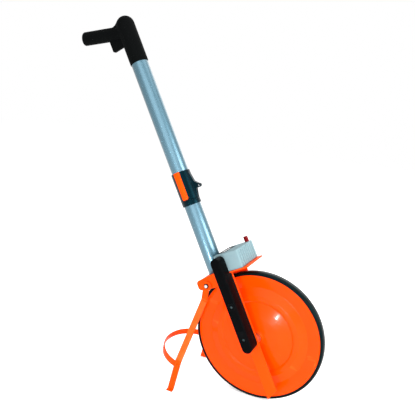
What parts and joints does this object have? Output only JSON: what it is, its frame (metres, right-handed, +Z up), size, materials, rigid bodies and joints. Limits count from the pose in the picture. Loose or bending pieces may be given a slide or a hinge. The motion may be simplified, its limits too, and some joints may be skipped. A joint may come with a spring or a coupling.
{
  "type": "measuring wheel",
  "caption": "Folding measuring wheel: disc wheel in a fork, belt-driven counter with reset knob, latched hinged pole, handle with brake trigger, fold-out stand.",
  "frame": {"origin": "middle of the footprint's bounding box, on the ground", "axes": "+X the way the wheel rolls, +Y across the wheel towards the side without the belt drive, +Z up"},
  "size_m": [0.7138, 0.203, 0.8803],
  "materials": {
    "tyre_rubber": "smooth black tread",
    "soft_rubber": "matt black rubber",
    "wheel_paint": "gloss orange paint on pressed sheet",
    "frame_paint": "gloss orange paint on steel strip",
    "button_plastic": "glossy orange moulding",
    "black_plastic": "satin black moulding",
    "pole_metal": "drawn, blue-grey anodised tube",
    "steel": "bright zinc-plated steel",
    "counter_grey": "satin grey-green moulding",
    "window_clear": "clear polished window",
    "drum_white": "white drums",
    "knob_red": "dark red moulding"
  },
  "bodies": {
    "fork_frame": {"carrier_plate": "frame_paint", "fork_plate_near": "frame_paint", "fork_plate_far": "frame_paint", "bearing_near": "steel", "bearing_far": "steel", "housing_back": "black_plastic", "housing_cover": "black_plastic", "housing_screw_1": "steel", "housing_screw_2": "steel", "drive_belt": "soft_rubber", "counter_case": "counter_grey", "counter_window": "window_clear", "reset_spring": "steel", "pole_lower": "pole_metal", "pole_socket": "frame_paint", "lower_collar": "black_plastic", "hinge_pin": "steel", "stand_bolt": "steel", "stand_nut": "steel"},
    "wheel": {"tyre": "tyre_rubber", "wheel_disc_near": "wheel_paint", "wheel_disc_far": "wheel_paint", "hub": "steel", "axle": "steel", "axle_nut": "steel", "axle_pulley": "black_plastic"},
    "counter_input": {"counter_shaft": "steel", "counter_pulley": "black_plastic", "digit_drum_tenths": "drum_white"},
    "ones_drum": {"digit_drum_ones": "drum_white"},
    "tens_drum": {"digit_drum_tens": "drum_white"},
    "hundreds_drum": {"digit_drum_hundreds": "drum_white"},
    "thousands_drum": {"digit_drum_thousands": "drum_white"},
    "upper_pole": {"pole_upper": "pole_metal", "upper_collar": "black_plastic", "handle_shell_near": "black_plastic", "handle_shell_far": "black_plastic", "handle_screw_1": "steel", "handle_screw_2": "steel", "trigger_pin": "steel", "trigger_spring": "steel", "latch_pin": "steel", "latch_spring": "steel"},
    "trigger": {"brake_trigger": "black_plastic"},
    "upper_rod": {"brake_rod_upper": "steel"},
    "lower_rod": {"brake_rod_lower": "steel", "brake_pad": "soft_rubber"},
    "latch": {"latch_button": "button_plastic"},
    "knob": {"reset_knob": "knob_red"},
    "stand": {"stand_leg_near": "frame_paint", "stand_leg_far": "frame_paint", "stand_hoop": "frame_paint", "hoop_rivet_near": "frame_paint", "hoop_rivet_far": "frame_paint", "stand_washer_near": "black_plastic", "stand_washer_far": "black_plastic"}
  },
  "joints": [
    {"name": "wheel_spin", "type": "hinge", "parent": "fork_frame", "child": "wheel", "pos_m": [0.1977, 0, 0.15915], "axis": [0, 1, 0], "continuous": true},
    {"name": "counter_turn", "type": "hinge", "parent": "fork_frame", "child": "counter_input", "pos_m": [0.10029, 0, 0.33857], "axis": [0, 1, 0], "continuous": true},
    {"name": "ones_turn", "type": "hinge", "parent": "fork_frame", "child": "ones_drum", "pos_m": [0.10029, 0, 0.33857], "axis": [0, 1, 0], "continuous": true},
    {"name": "tens_turn", "type": "hinge", "parent": "fork_frame", "child": "tens_drum", "pos_m": [0.10029, 0, 0.33857], "axis": [0, 1, 0], "continuous": true},
    {"name": "hundreds_turn", "type": "hinge", "parent": "fork_frame", "child": "hundreds_drum", "pos_m": [0.10029, 0, 0.33857], "axis": [0, 1, 0], "continuous": true},
    {"name": "thousands_turn", "type": "hinge", "parent": "fork_frame", "child": "thousands_drum", "pos_m": [0.10029, 0, 0.33857], "axis": [0, 1, 0], "continuous": true},
    {"name": "handle_fold", "type": "hinge", "parent": "fork_frame", "child": "upper_pole", "pos_m": [0.00505, 0, 0.49742], "axis": [0, 1, 0], "range_deg": [0, 155]},
    {"name": "trigger_squeeze", "type": "hinge", "parent": "upper_pole", "child": "trigger", "pos_m": [-0.23269, 0, 0.83237], "axis": [0, 1, 0], "range_deg": [0, 12], "stiffness_Nm_per_rad": 1, "springref_deg": -5.73},
    {"name": "upper_rod_push", "type": "slide", "parent": "upper_pole", "child": "upper_rod", "axis": [0.4772, 0, -0.8788], "range_m": [0, 0.0026]},
    {"name": "lower_rod_push", "type": "slide", "parent": "fork_frame", "child": "lower_rod", "axis": [0.4772, 0, -0.8788], "range_m": [0, 0.0026]},
    {"name": "latch_press", "type": "hinge", "parent": "upper_pole", "child": "latch", "pos_m": [-0.03988, -0.0195, 0.50262], "axis": [0.8788, 0, 0.4772], "range_deg": [0, 2.5], "stiffness_Nm_per_rad": 2, "springref_deg": -1.72},
    {"name": "reset_push", "type": "slide", "parent": "fork_frame", "child": "knob", "axis": [0.4772, 0, -0.8788], "range_m": [0, 0.005], "stiffness_N_per_m": 300, "springref_m": -0.003},
    {"name": "stand_fold", "type": "hinge", "parent": "fork_frame", "child": "stand", "pos_m": [0.06924, 0, 0.26749], "axis": [0, 1, 0], "range_deg": [0, 115]}
  ],
  "couplings": [
    {"joint": "counter_turn", "follows": "wheel_spin", "ratio": 1},
    {"joint": "ones_turn", "follows": "wheel_spin", "ratio": 0.1},
    {"joint": "tens_turn", "follows": "wheel_spin", "ratio": 0.01},
    {"joint": "hundreds_turn", "follows": "wheel_spin", "ratio": 0.001},
    {"joint": "thousands_turn", "follows": "wheel_spin", "ratio": 0.0001},
    {"joint": "upper_rod_push", "follows": "trigger_squeeze", "m_per_rad": 0.012},
    {"joint": "lower_rod_push", "follows": "trigger_squeeze", "m_per_rad": 0.012}
  ]
}
